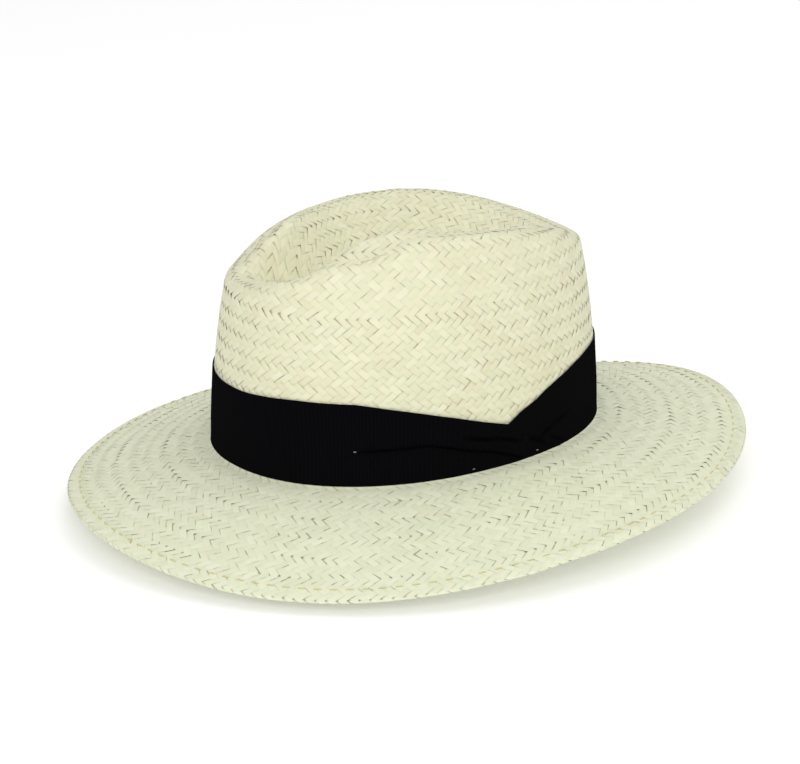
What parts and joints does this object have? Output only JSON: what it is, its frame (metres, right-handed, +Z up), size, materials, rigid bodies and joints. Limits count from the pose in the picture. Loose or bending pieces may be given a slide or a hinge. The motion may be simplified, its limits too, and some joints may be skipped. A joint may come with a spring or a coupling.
{
  "type": "panama hat",
  "caption": "Woven straw panama hat with a teardrop crown, a wide wavy brim turned under at the edge, and a broad ribbon drawn in to a narrow tie on the wearer's left.",
  "frame": {"origin": "centre of the brim's outline, at the height of the surface the hat stands on", "axes": "-Y towards the front of the hat, +X towards the wearer's left, +Z up out of the crown"},
  "size_m": [0.3204, 0.374, 0.1567],
  "materials": {
    "straw": "plaited, slightly glossy",
    "ribbon": "grosgrain, matte",
    "leather": "smooth, satin",
    "thread": "matte",
    "tack_thread": "matte",
    "piping": "matte",
    "tape": "ribbed",
    "label": "satin, blank"
  },
  "bodies": {
    "root": {"straw_body": "straw", "hem_stitching": "thread", "hat_band": "ribbon", "band_tacks": "tack_thread", "sweatband": "leather", "sweatband_reed": "piping", "sweatband_stitching": "thread", "seam_tape": "tape", "size_label": "label"}
  },
  "joints": []
}
